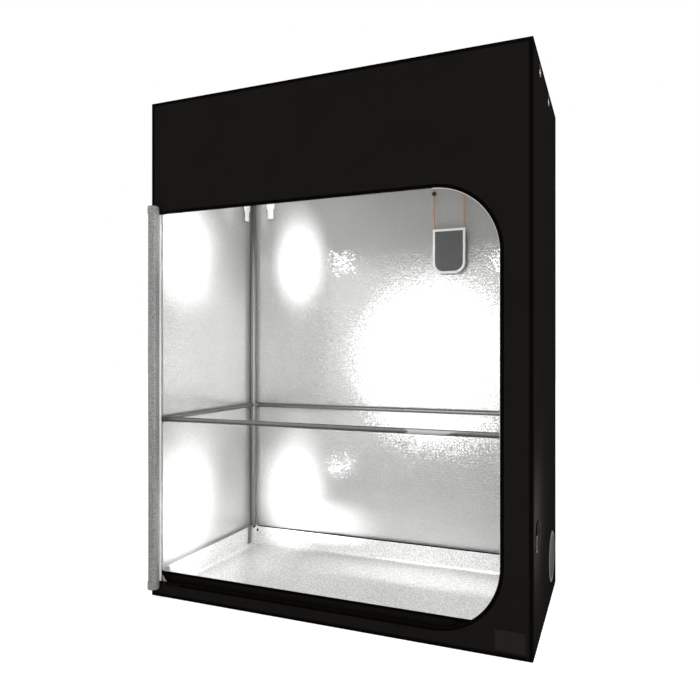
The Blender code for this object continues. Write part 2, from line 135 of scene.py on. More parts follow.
def added(name, operator, **settings):
    # one of Blender's starting shapes, under its own name
    bpy.ops.object.select_all(action="DESELECT")
    operator(**settings)
    made = bpy.context.object
    made.name = name
    return made


def softenEdges(piece, offset, segments, test=None):
    # bevels the edges that pass the test, or else all of them
    if test:
        pick(piece, "EDGE", test)
    else:
        editAll(piece)
    bpy.ops.mesh.bevel(offset=offset, segments=segments, affect="EDGES")
    leaveEdit()


def stand(origin, across, up):
    # a drawing plane: across and up, with its face towards their cross product
    normal = across.cross(up)
    turn = Matrix((across, up, normal)).transposed().to_4x4()
    return Matrix.Translation(origin) @ turn


def onFront(y):
    return stand(Vector((0, y, 0)), axisX, axisZ)


def onSide(x):
    return stand(Vector((x, 0, 0)), axisY, axisZ)


def onRight(word, out=0.0):
    # at one of the shared spots in the right wall, some way off its face
    return stand(Vector((rightX + out, *wallSpots[word])), axisY, axisZ)


def shift(x, y, z):
    return Matrix.Translation((x, y, z))


def arc(centreU, centreV, radius, start, end, steps):
    angles = [math.radians(start + (end - start) * step / steps) for step in range(steps + 1)]
    return [(centreU + radius * math.cos(a), centreV + radius * math.sin(a)) for a in angles]


def clamp(share):
    return max(0.0, min(1.0, share))


def eased(share):
    return share * share * (3 - 2 * share)


def roundedBox(width, thick, corner, steps):
    halfW, halfT = width / 2 - corner, thick / 2 - corner
    points = []
    for signU, signV, start in ((1, 1, 0), (-1, 1, 90), (-1, -1, 180), (1, -1, 270)):
        points += arc(signU * halfW, signV * halfT, corner, start, start + 90, steps)
    return points


def drawFlat(name, points, closed):
    curve = bpy.data.curves.new(name, "CURVE")
    curve.dimensions = "2D"
    line = curve.splines.new("POLY")
    line.points.add(len(points) - 1)
    for target, (u, v) in zip(line.points, points):
        target.co = (u, v, 0, 1)
    line.use_cyclic_u = closed
    return link(name, curve)


def sweep(name, path, band, place, closed=False):
    # a rounded box carried along a flat path: its width across the path, its thickness off the plane
    made = drawFlat(name, path, closed)
    section = drawFlat(name + "Section", roundedBox(*band), True)
    made.data.fill_mode = "NONE"
    made.data.bevel_mode = "OBJECT"
    made.data.bevel_object = section
    made.data.use_fill_caps = True
    only(made)
    bpy.ops.object.convert(target="MESH")
    made = bpy.context.object
    bpy.data.objects.remove(section)
    weld(made)
    settle(made, place)
    return made


def lathe(name, profile, place, steps=32, closed=False):
    # a profile of (radius, height) spun round the drawing plane's own normal
    mesh = bpy.data.meshes.new(name)
    count = len(profile)
    edges = [(index, (index + 1) % count) for index in range(count if closed else count - 1)]
    mesh.from_pydata([(radius, 0, height) for radius, height in profile], edges, [])
    made = link(name, mesh)
    editAll(made)
    bpy.ops.mesh.spin(steps=steps, angle=2 * math.pi, center=(0, 0, 0), axis=(0, 0, 1))
    leaveEdit()
    weld(made)
    settle(made, place)
    return made


def grid(name, columns, rows):
    return added(name, bpy.ops.mesh.primitive_grid_add, x_subdivisions=columns, y_subdivisions=rows, size=1)


def block(name, low, high):
    low, high = Vector(low), Vector(high)
    made = added(name, bpy.ops.mesh.primitive_cube_add, size=1, location=(low + high) / 2, scale=high - low)
    settle(made)
    return made


def cut(piece, tool):
    modify(piece, "BOOLEAN", operation="DIFFERENCE", solver="EXACT", object=tool)
    applyAll(piece)
    bpy.data.objects.remove(tool)


def join(name, *parts):
    only(parts[0])
    for part in parts[1:]:
        part.select_set(True)
    bpy.ops.object.join()
    parts[0].name = name
    return parts[0]


def bend(piece, move):
    for vertex in piece.data.vertices:
        vertex.co = move(vertex.co)
    piece.data.update()


def coat(piece, *words):
    for word in words:
        piece.data.materials.append(finishes[word])


def finish(piece, word, body, stands=(), smooth=35):
    # word: the finish of a piece that has none yet
    applyAll(piece)
    bpy.ops.object.shade_smooth_by_angle(angle=math.radians(smooth))
    if not piece.data.materials:
        coat(piece, word)
    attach(piece, body)
    if stands:
        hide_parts(*stands)
    return piece


# Shader maths

class Wire:
    # one output socket, so that shader maths reads as maths
    def __init__(self, tree, socket=None):
        self.tree, self.socket = tree, socket

    def node(self, kind, settings=None, values=None, output=0):
        made = self.tree.nodes.new("ShaderNode" + kind)
        for key, value in (settings or {}).items():
            setattr(made, key, value)
        for key, value in (values or {}).items():
            if isinstance(value, Wire):
                self.tree.links.new(value.socket, made.inputs[key])
            else:
                made.inputs[key].default_value = value
        return Wire(self.tree, made.outputs[output])

    def maths(self, operation, *others):
        return self.node("Math", {"operation": operation}, dict(enumerate((self, *others))))

    def vector(self, operation, other, output=0):
        return self.node("VectorMath", {"operation": operation}, {0: self, 1: other}, output)

    def __add__(self, other):
        return self.maths("ADD", other)

    __radd__ = __add__

    def __sub__(self, other):
        return self.maths("SUBTRACT", other)

    def __rsub__(self, other):
        return self.node("Math", {"operation": "SUBTRACT"}, {0: other, 1: self})

    def __mul__(self, other):
        return self.maths("MULTIPLY", other)

    __rmul__ = __mul__

    def __gt__(self, other):
        return self.maths("GREATER_THAN", other)

    def __lt__(self, other):
        return self.maths("LESS_THAN", other)

    def wave(self, pitch):
        return (self * (2 * math.pi / pitch)).maths("SINE")

    def size(self):
        return self.maths("ABSOLUTE")

    def ramp(self, low, high):
        return self.node("MapRange", {"clamp": True}, {"Value": self, "From Min": low, "From Max": high})


class Finish:
    # a material with its Principled shader, and the wires that most patterns start from
    def __init__(self, name, **uniform):
        self.material = bpy.data.materials.new(name)
        self.material.use_nodes = True
        self.tree = self.material.node_tree
        self.shader = self.tree.nodes["Principled BSDF"]
        for key, value in uniform.items():
            self.shader.inputs[key.replace("_", " ")].default_value = value
        self.start = Wire(self.tree)
        self.place = self.start.node("TexCoord", output=3)
        split = self.place.node("SeparateXYZ", values={0: self.place}).socket.node
        self.x, self.y, self.z = (Wire(self.tree, split.outputs[index]) for index in range(3))
        self.along = self.x + self.y + self.z

    def cloud(self, scale, detail=2.0, rough=0.5, stretch=None):
        place = self.place
        if stretch:
            place = place.vector("MULTIPLY", stretch)
        return place.node("TexNoise", {}, {"Vector": place, "Scale": scale, "Detail": detail,
                                           "Roughness": rough})

    def feed(self, socket, wire):
        self.tree.links.new(wire.socket, self.shader.inputs[socket])

    def colour(self, amount, low, high):
        self.feed("Base Color", self.start.node(
            "Mix", {"data_type": "RGBA"}, {0: amount, 6: (*low, 1), 7: (*high, 1)}, output=2))

    def waves(self, pitch):
        return self.x.wave(pitch) + self.y.wave(pitch) + self.z.wave(pitch)

    def bump(self, height, distance, strength=1.0):
        self.feed("Normal", self.start.node(
            "Bump", {}, {"Strength": strength, "Distance": distance, "Height": height}))


def blackCloth(name, tone=1.0, wear=0.0):
    # coated nylon, woven fine, with a faint uneven sheen
    look = {"dark": (0.0046, 0.0042, 0.0036), "light": (0.0080, 0.0074, 0.0064), "weave": 0.0016}
    made = Finish(name, Specular_IOR_Level=0.0)
    weave = made.waves(look["weave"])
    patchy = made.cloud(7.0, 3.0)
    fine = made.cloud(900.0, 1.0)
    made.colour(patchy * 0.7 + fine * 0.3, [c * tone for c in look["dark"]],
                [c * (tone + wear) for c in look["light"]])
    made.feed("Roughness", 0.52 + patchy * 0.22)
    made.bump(weave * 0.2 + fine, 0.0002, 0.35)
    return made.material


def bindingTape():
    # ribbed tape with one row of stitches along its inner edge
    look = {"rib": 0.0011, "inset": 0.0078, "line": 0.0006, "pitch": 0.0042, "long": 0.66}
    made = Finish("bindingTape", Roughness=0.8, Specular_IOR_Level=0.0)
    offs = [(wire - middle).size() for wire, middle in
            ((made.x, middleX), (made.y, middleY), (made.z, middleZ))]
    depths = [half - off for off, half in
              zip(offs, (rightX - middleX, backY - middleY, roofZ - middleZ))]
    low = depths[0].maths("MINIMUM", depths[1])
    high = depths[0].maths("MAXIMUM", depths[1])
    inner = low.maths("MAXIMUM", high.maths("MINIMUM", depths[2]))
    line = (inner - look["inset"]).size() < look["line"]
    stitch = line * ((made.along * (1 / look["pitch"])).maths("FRACT") < look["long"])
    made.colour(stitch, (0.0014, 0.0013, 0.0012), (0.0060, 0.0057, 0.0052))
    made.bump(made.along.wave(look["rib"]) * 0.15 + stitch, 0.0003, 0.6)
    return made.material


def silverFilm(name, dark, light, grain, rough, metal, crease, fleck, flake):
    # metallised film laid on cloth: an embossed dot grid, a fine crinkle and small tilted flakes
    look = {"dots": 0.0104, "grain": 210.0, "crinkle": 30.0, "flakes": 290.0, "deep": 0.0009}
    made = Finish(name, Metallic=metal)
    dots = made.waves(look["dots"])
    grit = made.cloud(look["grain"], 2.0, 0.6)
    crinkle = made.cloud(look["crinkle"], 3.0, 0.6)
    patchy = made.cloud(3.2, 2.0)
    plain = patchy * 0.5 + crinkle * 0.25 + dots.ramp(-2.2, 2.2) * 0.25
    made.colour(plain * (1 - fleck) + grit.ramp(0.40, 0.60) * fleck, dark, light)
    made.feed("Roughness", rough[0] + (rough[1] - rough[0]) * (crinkle * 0.5 + patchy * 0.5))
    cells = made.place.node("TexVoronoi", {}, {"Vector": made.place, "Scale": look["flakes"]}).socket.node
    tint, centre = (Wire(made.tree, cells.outputs[index]) for index in (1, 2))
    tilt = tint.vector("SUBTRACT", (0.5, 0.5, 0.5))
    facet = made.place.vector("SUBTRACT", centre).vector("DOT_PRODUCT", tilt, 1)
    height = dots * 0.03 + grit * (0.30 * grain) + crinkle * crease + facet * (flake / look["deep"])
    made.bump(height, look["deep"], 0.75)
    return made.material


def zincSteel(name, tone):
    look = {"dark": (0.19, 0.195, 0.19), "light": (0.32, 0.325, 0.315)}
    made = Finish(name, Metallic=1.0)
    spangle = made.cloud(65.0, 2.0)
    drawn = made.cloud(160.0, 2.0, 0.5, (1.0, 1.0, 0.06))
    made.colour(spangle * 0.6 + drawn * 0.4, [c * tone for c in look["dark"]],
                [c * tone for c in look["light"]])
    made.feed("Roughness", 0.26 + spangle * 0.18)
    made.bump(drawn, 0.0001, 0.25)
    return made.material


def webbing(name, dark, light, pitch=0.0014):
    made = Finish(name, Roughness=0.8, Specular_IOR_Level=0.3)
    chevron = (made.z + (made.x + made.y) * 0.5).wave(pitch) * (made.x + made.y).wave(pitch * 2.2)
    fuzz = made.cloud(600.0, 2.0)
    made.colour(chevron.ramp(-1, 1) * 0.6 + fuzz * 0.4, dark, light)
    made.bump(chevron * 0.6 + fuzz * 0.5, 0.0003, 0.5)
    return made.material


def mouldedPlastic(name, dark, light, rough, shine=0.45):
    made = Finish(name, Specular_IOR_Level=shine)
    skin = made.cloud(420.0, 2.0)
    made.colour(skin, dark, light)
    made.feed("Roughness", rough + skin * 0.15)
    made.bump(skin, 0.0001, 0.25)
    return made.material


def pouchCloth():
    made = Finish("pouchCloth", Roughness=0.8, Specular_IOR_Level=0.2)
    knit = made.x.wave(0.0015) * made.z.wave(0.0015)
    slub = made.cloud(90.0, 3.0)
    made.colour(knit.ramp(-1, 1) * 0.5 + slub * 0.5, (0.085, 0.090, 0.088), (0.155, 0.160, 0.157))
    made.bump(knit + slub * 0.3, 0.0003, 0.5)
    return made.material


def ventNetting():
    # fine net: the gaps between its threads are cut out with alpha
    look = {"pitch": 0.0020, "gap": 0.26}
    made = Finish("ventNetting", Roughness=0.7, Specular_IOR_Level=0.25)
    threads = made.y.wave(look["pitch"]).maths("MAXIMUM", made.z.wave(look["pitch"]))
    uneven = made.cloud(26.0, 2.0)
    made.colour(uneven, (0.022, 0.023, 0.021), (0.085, 0.087, 0.082))
    made.feed("Alpha", threads > look["gap"] - uneven * 0.8)
    made.bump(threads, 0.0004, 0.6)
    return made.material


def brightMetal():
    made = Finish("brightMetal", Metallic=1.0)
    scuff = made.cloud(300.0, 3.0)
    made.colour(scuff, (0.24, 0.23, 0.21), (0.40, 0.385, 0.355))
    made.feed("Roughness", 0.22 + scuff * 0.2)
    return made.material


def braidedCord(name, dark, light):
    made = Finish(name, Roughness=0.75, Specular_IOR_Level=0.25)
    slant, pitch = (made.x - made.y) * 1.5, 0.0022
    braid = (made.along + slant).wave(pitch) * (made.along - slant).wave(pitch)
    made.colour(braid.ramp(-1, 1), dark, light)
    made.bump(braid, 0.0003, 0.6)
    return made.material


def patchCloth():
    # bare stitched patch: a satin weave with a border of stitches
    look = {"dark": (0.0068, 0.0056, 0.0047), "light": (0.0125, 0.0104, 0.0089)}
    made = Finish("patchCloth", Specular_IOR_Level=0.05)
    satin = (made.x + made.z).wave(0.0013)
    patchy = made.cloud(40.0, 2.0)
    made.colour(satin.ramp(-1, 1) * 0.4 + patchy * 0.6, look["dark"], look["light"])
    made.feed("Roughness", 0.5 + patchy * 0.2)
    made.bump(satin, 0.0002, 0.4)
    return made.material


def paleFloor():
    made = Finish("paleFloor", Roughness=0.9, Specular_IOR_Level=0.0, Emission_Color=(1, 1, 1, 1),
                  Emission_Strength=0.35)
    made.colour(made.cloud(0.7, 1.0), (0.93, 0.93, 0.925), (0.95, 0.95, 0.945))
    return made.material


finishes = {
    "black": blackCloth("blackCloth"),
    "trim": blackCloth("blackTrim", 0.18, 0.1),
    "tape": bindingTape(),
    "film": silverFilm("silverFilm", (0.56, 0.56, 0.553), (0.74, 0.74, 0.73), 0.6, (0.05, 0.08), 0.6, 0.20,
                       0.45, 0.15),
    "floorFilm": silverFilm("floorFilm", (0.50, 0.50, 0.495), (0.90, 0.90, 0.89), 2.0, (0.14, 0.20), 0.45,
                            0.5, 0.7, 0.30),
    # the corner pleats: a dark copy of the silver film, painted shade
    "foldFilm": silverFilm("foldFilm", (0.10, 0.10, 0.098), (0.25, 0.25, 0.245), 2.0, (0.30, 0.40), 0.4, 1.0,
                           0.6, 0.2),
    "rolled": silverFilm("rolledFilm", (0.08, 0.08, 0.077), (0.29, 0.29, 0.28), 1.2, (0.42, 0.60), 0.25, 0.8,
                         0.45, 0.2),
    "edge": webbing("liningEdge", (0.78, 0.78, 0.77), (0.93, 0.93, 0.92), 0.0028),
    "steel": zincSteel("zincSteel", 1.35),
    # the bars: a darker copy of the poles' zinc, painted shade
    "barSteel": zincSteel("zincBarSteel", 0.86),
    "white": webbing("whiteWebbing", (0.78, 0.78, 0.77), (0.92, 0.92, 0.91)),
    "greyTab": webbing("greyTabWebbing", (0.028, 0.028, 0.027), (0.052, 0.052, 0.050)),
    "whitePlastic": mouldedPlastic("whitePlastic", (0.80, 0.80, 0.79), (0.88, 0.88, 0.87), 0.35),
    "greyPlastic": mouldedPlastic("greyPlastic", (0.30, 0.30, 0.30), (0.38, 0.38, 0.38), 0.4),
    "blackPlastic": mouldedPlastic("blackPlastic", (0.010, 0.010, 0.010), (0.020, 0.020, 0.020), 0.38),
    "zipPlastic": mouldedPlastic("zipPlastic", (0.0016, 0.0015, 0.0014), (0.0040, 0.0038, 0.0035), 0.45,
                                 0.03),
    "pouch": pouchCloth(),
    "net": ventNetting(),
    "rim": webbing("netRim", (0.085, 0.088, 0.082), (0.15, 0.154, 0.143)),
    "metal": brightMetal(),
    "tan": braidedCord("tanCord", (0.42, 0.15, 0.03), (0.80, 0.34, 0.09)),
    "olive": braidedCord("oliveCord", (0.018, 0.0165, 0.011), (0.042, 0.039, 0.027)),
    "patch": patchCloth(),
    "stage": paleFloor(),
}
print("stage: finishes made,", len(finishes))


# Camera, lights and floor

def setStage():
    look = {"place": (0.7963, -1.91205, 0.7905), "turn": (90, 0, 21.687), "lens": 32.38, "shift": -0.0261,
            "sparkSize": 0.022, "sparkPower": 0.16, "floorSize": 30, "floorZ": -0.0004, "dim": 0.30}
    # soft boxes outside, then small lights in the tent, some only for their diffuse glow, some only
    # mirrored: place, aim, width, height, power, and the rays that don't see the light
    discs = {
        "keySoftbox": ((-1.6, -3.4, 2.3), (0.0, 0.0, 0.8), 1.8, 1.8, 40, "glossy"),
        "sideSoftbox": ((3.4, -1.2, 1.6), (0.6, 0.0, 0.5), 1.6, 1.6, 54, None),
        "sideGlow": ((0.72, -0.225, 0.34), (0.596, -0.225, 0.34), 0.05, 0.22, 1.4, None),
        "backMirrored": ((0.025, -0.235, 0.735), (0.115, 0.30, 0.74), 0.78, 0.80, 2.6, "diffuse"),
        "topGlow": ((-0.10, -0.20, 1.45), (-0.10, 0.32, 1.25), 0.90, 0.10, 1.0, "glossy"),
        "strapGlow": ((-0.35, 0.02, 1.40), (-0.56, 0.30, 1.37), 0.10, 0.10, 0.6, "glossy"),
        "midGlow": ((-0.33, 0.0, 0.72), (-0.33, 0.32, 0.72), 0.30, 0.34, 0.42, "glossy"),
        "floorGlow": ((-0.42, -0.05, 0.17), (-0.58, -0.05, 0.03), 0.42, 0.06, 0.50, "glossy"),
        "trayGlow": ((0.16, 0.10, 0.10), (0.16, 0.30, 0.05), 0.70, 0.05, 0.65, "glossy"),
        "cornerGlow": ((-0.46, 0.14, 0.17), (-0.60, 0.27, 0.08), 0.14, 0.14, 0.10, "glossy"),
        "leftGlow": ((-0.42, -0.21, 0.71), (-0.60, -0.21, 0.71), 0.08, 0.28, 0.12, "glossy"),
        "jambGlow": ((-0.47, -0.42, 0.70), (-0.57, -0.29, 0.70), 0.03, 0.44, 0.08, "glossy"),
    }
    # spots that throw a soft oval on the lining; width and height are the oval's, as far away as the aim
    beams = {
        "beamUpperBack": ((-0.388, 0.02, 1.15), (-0.388, 0.32, 1.15), 0.150, 0.250, 14.0),
        "beamLowerBack": ((-0.410, 0.02, 0.215), (-0.410, 0.32, 0.215), 0.21, 0.33, 16.0),
        "beamUpperLeft": ((-0.30, -0.13, 1.15), (-0.60, -0.13, 1.15), 0.27, 0.30, 18.0),
        "beamLowerLeft": ((-0.30, -0.12, 0.27), (-0.60, -0.12, 0.27), 0.28, 0.34, 19.0),
        "beamFoot": ((-0.27, 0.09, 0.105), (-0.25, 0.32, 0.115), 0.26, 0.105, 6.0),
    }
    # small lamps that the lining mirrors
    sparks = {
        "sparkUpperLeft": (-0.380, -0.08, 1.193),
        "sparkLowerLeft": (-0.388, -0.08, 0.264),
        "sparkUpperRight": (0.345, -0.08, 1.155),
    }

    def addLight(name, kind, place, aim, power, unseenBy):
        lamp = bpy.data.lights.new(name, kind)
        lamp.energy = power
        made = link(name, lamp)
        made.location = place
        if aim:
            made.rotation_euler = (Vector(aim) - Vector(place)).to_track_quat("-Z", "Y").to_euler()
        made.visible_camera = False
        if unseenBy:
            setattr(made, "visible_" + unseenBy, False)
        return made, lamp

    camera = link("camera", bpy.data.cameras.new("camera"))
    camera.location = look["place"]
    camera.rotation_euler = [math.radians(angle) for angle in look["turn"]]
    camera.data.lens = look["lens"]
    camera.data.sensor_width = 36
    camera.data.shift_x = look["shift"]
    bpy.context.scene.camera = camera
    for name, (place, aim, wide, tall, power, unseenBy) in discs.items():
        made, lamp = addLight(name, "AREA", place, aim, power, unseenBy)
        lamp.shape = "ELLIPSE"
        lamp.size, lamp.size_y = wide, tall
    for name, (place, aim, wide, tall, power) in beams.items():
        made, lamp = addLight(name, "SPOT", place, aim, power, "glossy")
        lamp.spot_size = 2 * math.atan(tall / (Vector(aim) - Vector(place)).length)
        lamp.spot_blend = 1.0
        lamp.shadow_soft_size = 0.01
        made.scale = (wide / tall, 1, 1)
    for name, place in sparks.items():
        made, lamp = addLight(name, "POINT", place, None, look["sparkPower"], "diffuse")
        lamp.shadow_soft_size = look["sparkSize"]
    world = bpy.data.worlds.new("room")
    world.use_nodes = True
    wires = Wire(world.node_tree)
    toward = wires.node("TexCoord", output=0)
    height = Wire(world.node_tree, toward.node("SeparateXYZ", values={0: toward}).socket.node.outputs[2])
    glow = world.node_tree.nodes["Background"]
    glow.inputs["Color"].default_value = (1, 1, 1, 1)
    strength = look["dim"] + height.ramp(-0.22, -0.07) * 0.70
    world.node_tree.links.new(strength.socket, glow.inputs["Strength"])
    bpy.context.scene.world = world
    bpy.context.scene.view_settings.view_transform = "Standard"
    floor = added("floorSheet", bpy.ops.mesh.primitive_plane_add, size=look["floorSize"],
                  location=(0, 0, look["floorZ"]))
    coat(floor, "stage")
    floor.visible_glossy = False


setStage()
print("stage: camera, lights and floor")


# Door opening, shared by the front wall, the zip, its sliders and the roll

opening = {"jamb": -0.576, "latch": 0.5126, "sill": 0.050, "lintel": 1.2247, "radius": 0.180, "steps": 20,
           "area": 1.2649, "toolDeep": 0.06, "trackOff": 0.0045}
jamb, latch, sill, lintel = (opening[word] for word in ("jamb", "latch", "sill", "lintel"))


def openingPath(margin, start):
    radius = opening["radius"] + margin
    centre = latch - opening["radius"]
    top = lintel - opening["radius"]
    bottom = sill + opening["radius"]
    steps = opening["steps"]
    return ([(start, lintel + margin)] + arc(centre, top, radius, 90, 0, steps)
            + arc(centre, bottom, radius, 0, -90, steps) + [(start, sill - margin)])


def openingTool():
    reach = opening["toolDeep"] / 2
    tool = block("openingTool", (jamb, frontY - reach, sill), (latch, frontY + reach, lintel))
    softenEdges(tool, opening["radius"], opening["steps"],
                lambda place, along: place.x > latch - 1e-4 and abs(along.y) > 0.9)
    return tool


def roundTool(y, z, radius, sides):
    tool = added("roundTool", bpy.ops.mesh.primitive_cylinder_add, vertices=sides, radius=radius,
                 depth=opening["toolDeep"], location=(rightX, y, z), rotation=(0, math.pi / 2, 0))
    settle(tool)
    return tool


# Cloth walls, roof and floor

def makeShell():
    look = {"ply": 0.0016, "cell": 0.016, "swell": 0.0020, "ripple": 0.0005, "margin": 0.09, "calm": 0.06,
            "holesArea": 0.0195, "patch": (0.538, 0.0435, 0.039, 0.027)}
    # holes of the right wall: radius, sides, and how far from the hole's middle the cloth stays flat
    holes = {"vent": (ventRadius, 72, 0.083), "port": (0.0285, 48, 0.05), "eyeletFront": (0.0066, 24, 0.02),
             "eyeletBack": (0.0066, 24, 0.02)}

    def slack(u, v, width, height, seed):
        ease = eased(clamp(min(width / 2 - abs(u), height / 2 - abs(v)) / look["margin"]))
        broad = noise.noise(Vector((u * 2.6, v * 2.1, seed)))
        fine = noise.noise(Vector((u * 11.0, v * 7.0, seed + 9)))
        return ease * (look["swell"] * (0.6 + broad) + look["ripple"] * fine)

    def panel(name, place, width, height, seed, calm):
        piece = grid(name, round(width / look["cell"]), round(height / look["cell"]))
        piece.scale = (width, height, 1)
        settle(piece)
        if seed:
            bend(piece, lambda co: Vector((co.x, co.y, slack(co.x, co.y, width, height, seed)
                                           * (calm(co.x, co.y) if calm else 1))))
        settle(piece, place)
        coat(piece, "black", "film")
        modify(piece, "SOLIDIFY", thickness=look["ply"], offset=-1, material_offset=1)
        applyAll(piece)
        return piece

    def calmFront(u, v):
        x, z = middleX + u, middleZ + v
        far = max(sill - z, z - lintel, jamb - x,
                  x - latch)
        patchX, patchZ, patchWide, patchTall = look["patch"]
        patch = max(abs(x - patchX) - patchWide, abs(z - patchZ) - patchTall)
        return clamp(min(far - 0.015, patch - 0.004) / look["calm"])

    def calmRight(u, v):
        y, z = middleY + u, middleZ + v
        gaps = [math.hypot(y - wallSpots[word][0], z - wallSpots[word][1]) - hole[2]
                for word, hole in holes.items()]
        return clamp(min(gaps) / look["calm"])

    # middle, directions of width and height seen from outside, both lengths, the seed of the slackness,
    # and what keeps the cloth flat near fittings
    wide, deep, tall = rightX - leftX, backY - frontY, roofZ
    inner = look["ply"] + 0.0002
    deepWall, tallWall = deep - 2 * inner, tall - 2 * inner
    walls = {
        "roof": ((middleX, middleY, roofZ), axisX, axisY, wide, deep, 3.1, None),
        "floor": ((middleX, middleY, 0), axisX, -axisY, wide, deep, 0, None),
        "back": ((middleX, backY, middleZ), -axisX, axisZ, wide, tallWall, 5.7, None),
        "front": ((middleX, frontY, middleZ), axisX, axisZ, wide, tallWall, 8.3, calmFront),
        "left": ((leftX, middleY, middleZ), -axisY, axisZ, deepWall, tallWall, 11.9, None),
        "right": ((rightX, middleY, middleZ), axisY, axisZ, deepWall, tallWall, 15.2, calmRight),
    }
    for word, (middle, across, up, width, height, seed, calm) in walls.items():
        piece = panel(word + "Cloth", stand(Vector(middle), across, up), width, height, seed, calm)
        if word == "front":
            cut(piece, openingTool())
        if word == "right":
            for hole, (radius, sides, _) in holes.items():
                cut(piece, roundTool(*wallSpots[hole], radius, sides))
        finish(piece, None, "tent", [word + "_panel"], 30)
        "laid" if word == "floor" else "stretched"


makeShell()
print("stage: cloth shell")


def makeBoxBinding():
    look = {"width": 0.010, "thick": 0.0008, "round": 0.0035, "near": 1e-4}
    piece = block("boxBinding", shellLow, shellHigh)
    editAll(piece)
    bpy.ops.mesh.select_mode(type="FACE")
    bpy.ops.mesh.select_all(action="SELECT")
    bpy.ops.mesh.inset(thickness=look["width"], use_individual=True)
    bpy.ops.mesh.delete(type="FACE")
    leaveEdit()
    half = (shellHigh - shellLow) / 2
    middle = (shellHigh + shellLow) / 2

    def onBoxEdge(place, along):
        off = [abs(place[axis] - middle[axis]) for axis in range(3)]
        return sum(off[axis] > half[axis] - look["near"] for axis in range(3)) >= 2

    softenEdges(piece, look["round"], 3, onBoxEdge)
    modify(piece, "SOLIDIFY", thickness=look["thick"], offset=1)
    finish(piece, "tape", "tent", (), 50)


makeBoxBinding()


def makeZip():
    # the toothed track round the opening, the lining's bright edge there, and the strip turned at the jamb
    look = {"tape": 0.0096, "thick": 0.0010, "start": -0.546, "tooth": (0.0018, 0.0034, 0.0016),
            "pitch": 0.0030, "edge": 0.0012, "edgeDeep": 0.0030, "turned": 0.0085, "soft": 0.0004}
    tape = sweep("zipTape", openingPath(look["tape"] / 2 + 0.0002, look["start"]),
                 (look["tape"], look["thick"], 0.0003, 2),
                 onFront(frontY - 0.0003 - look["thick"] / 2))
    finish(tape, "trim", "tent", ["zip_track"])

    tooth = block("zipTeeth", [-size / 2 for size in look["tooth"]], [size / 2 for size in look["tooth"]])
    softenEdges(tooth, look["soft"], 1)
    line = drawFlat("zipLine", openingPath(0.0012, look["start"] + 0.002), False)
    modify(tooth, "ARRAY", fit_type="FIT_CURVE", curve=line, use_relative_offset=False,
           use_constant_offset=True, constant_offset_displace=(look["pitch"], 0, 0))
    modify(tooth, "CURVE", object=line, deform_axis="POS_X")
    applyAll(tooth)
    bpy.data.objects.remove(line)
    settle(tooth, onFront(frontY - 0.0003 - look["thick"] - 0.0002))
    finish(tooth, "zipPlastic", "tent", (), 30)
    edge = sweep("openingEdge", openingPath(-look["edge"] / 2, 0)[1:23],
                 (look["edge"], look["edgeDeep"], 0.0005, 2),
                 onFront(frontY + look["edgeDeep"] / 2 - 0.0002))
    finish(edge, "edge", "tent")
    turned = block("jambEdge", (jamb - 0.0004, frontY - 0.0004, sill + 0.0005),
                   (jamb + look["turned"], frontY + 0.0008, lintel - 0.0005))
    softenEdges(turned, look["soft"], 2, lambda place, along: abs(along.z) > 0.9)
    finish(turned, "edge", "tent")


makeZip()
print("stage: bindings and zip")


def makeSlider(word, middle):
    # slider body with a bridge, and a pull that lies along the track
    look = {"long": 0.014, "wide": 0.009, "thick": 0.0040, "pull": 0.026, "waist": 0.62}
    low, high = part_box(f"zip_slider_{word}")
    nose, face = low.x, high.y
    body = block(f"slider{word.title()}",
                 (nose, face - look["thick"] * look["waist"], middle - look["wide"] / 2),
                 (nose + look["long"], face, middle + look["wide"] / 2))
    pick(body, "FACE", lambda place, normal: normal.x < -0.9)
    bpy.ops.transform.resize(value=(1, 1, look["waist"]))
    bpy.ops.mesh.select_all(action="SELECT")
    bpy.ops.mesh.bevel(offset=0.0008, segments=2, affect="EDGES")
    leaveEdit()
    path = [(nose + 0.002, face - 0.0022), (nose + 0.0035, face - 0.0040), (nose + 0.0095, face - 0.0042),
            (nose + 0.0115, face - 0.0022)]
    bridge = sweep("bridge", path, (0.0008, 0.0022, 0.0003, 2),
                   stand(Vector((0, 0, middle)), axisX, axisY))
    reach = nose + look["long"] + look["pull"]
    ring = [(nose + 0.008, middle - 0.0021), (reach - 0.003, middle - 0.0024), (reach, middle - 0.0012),
            (reach, middle + 0.0012), (reach - 0.003, middle + 0.0024), (nose + 0.008, middle + 0.0021)]
    pull = sweep("pull", ring, (0.0012, 0.0012, 0.0004, 2), onFront(face - 0.0036), True)
    tab = block("tab", (nose + 0.020, face - 0.0041, middle - 0.0020),
                (reach - 0.001, face - 0.0031, middle + 0.0020))
    softenEdges(tab, 0.0004, 2)
    piece = join(f"slider{word.title()}", body, bridge, pull, tab)
    finish(piece, "zipPlastic", f"{word}_slider", [f"zip_slider_{word}"])


makeSlider("upper", lintel + opening["trackOff"])
makeSlider("lower", sill - opening["trackOff"])


# Rolled door

